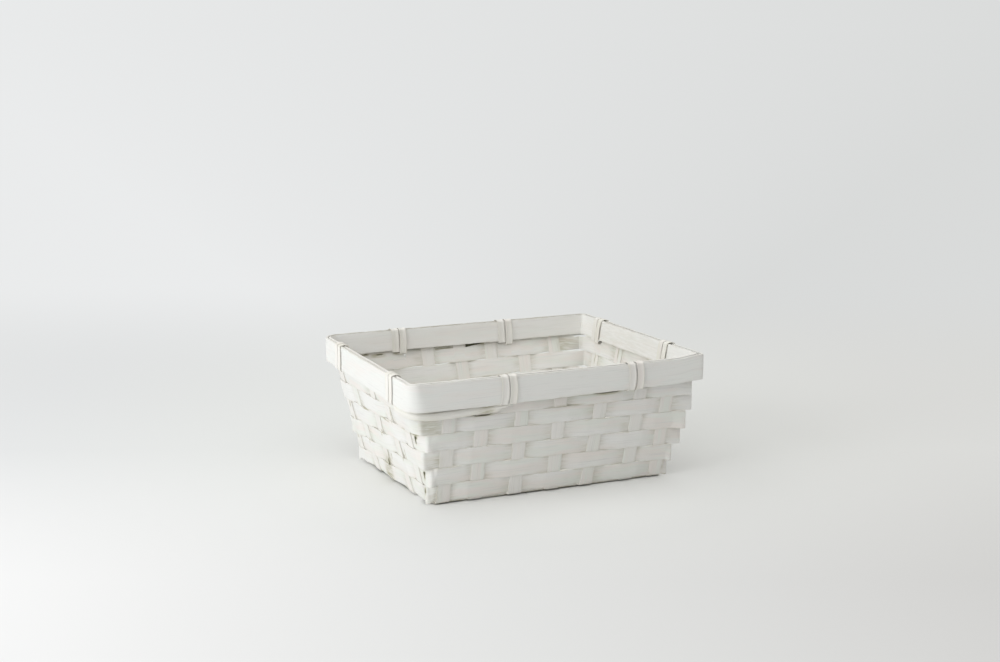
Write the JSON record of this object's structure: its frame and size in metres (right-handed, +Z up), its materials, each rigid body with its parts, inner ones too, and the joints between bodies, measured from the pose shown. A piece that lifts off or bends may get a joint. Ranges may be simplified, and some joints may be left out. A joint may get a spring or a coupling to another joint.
{
  "type": "woven gift basket",
  "caption": "Rectangular white gift basket: tapered walls and a flat base plain-woven from chip-wood strips, with a flat double-band rim tied on with wound lashings.",
  "frame": {"origin": "on the floor under the middle of the rim", "axes": "+X along the long walls, to the right seen from the front; +Y from the front wall to the back wall; +Z up"},
  "size_m": [0.2798, 0.2318, 0.1123],
  "materials": {
    "rim": "brushed white paint over thin wood band, matt",
    "weaver": "brushed white paint over chip-wood strip, matt",
    "stake": "brushed white paint over chip-wood strip, matt",
    "base_strip": "brushed white paint over chip-wood strip, matt",
    "lashing": "white paint over split lashing strip, matt"
  },
  "bodies": {
    "root": {"weaver_row_1": "weaver", "weaver_row_2": "weaver", "weaver_row_3": "weaver", "weaver_row_4": "weaver", "weaver_row_5": "weaver", "weaver_row_6": "weaver", "cross_stake_1": "stake", "base_cross_strip_1": "base_strip", "cross_stake_2": "stake", "base_cross_strip_2": "base_strip", "cross_stake_3": "stake", "base_cross_strip_3": "base_strip", "cross_stake_4": "stake", "base_cross_strip_4": "base_strip", "cross_stake_5": "stake", "base_cross_strip_5": "base_strip", "cross_stake_6": "stake", "base_cross_strip_6": "base_strip", "cross_stake_7": "stake", "long_stake_1": "stake", "long_stake_2": "stake", "base_long_strip_1": "base_strip", "long_stake_3": "stake", "base_long_strip_2": "base_strip", "long_stake_4": "stake", "base_long_strip_3": "base_strip", "long_stake_5": "stake", "outer_rim_band": "rim", "inner_rim_band": "rim", "lashing_front_left": "lashing", "lashing_front_right": "lashing", "lashing_right_front": "lashing", "lashing_right_back": "lashing", "lashing_back_right": "lashing", "lashing_back_left": "lashing", "lashing_left_back": "lashing", "lashing_left_front": "lashing", "loose_lashing_tail": "lashing"}
  },
  "joints": []
}
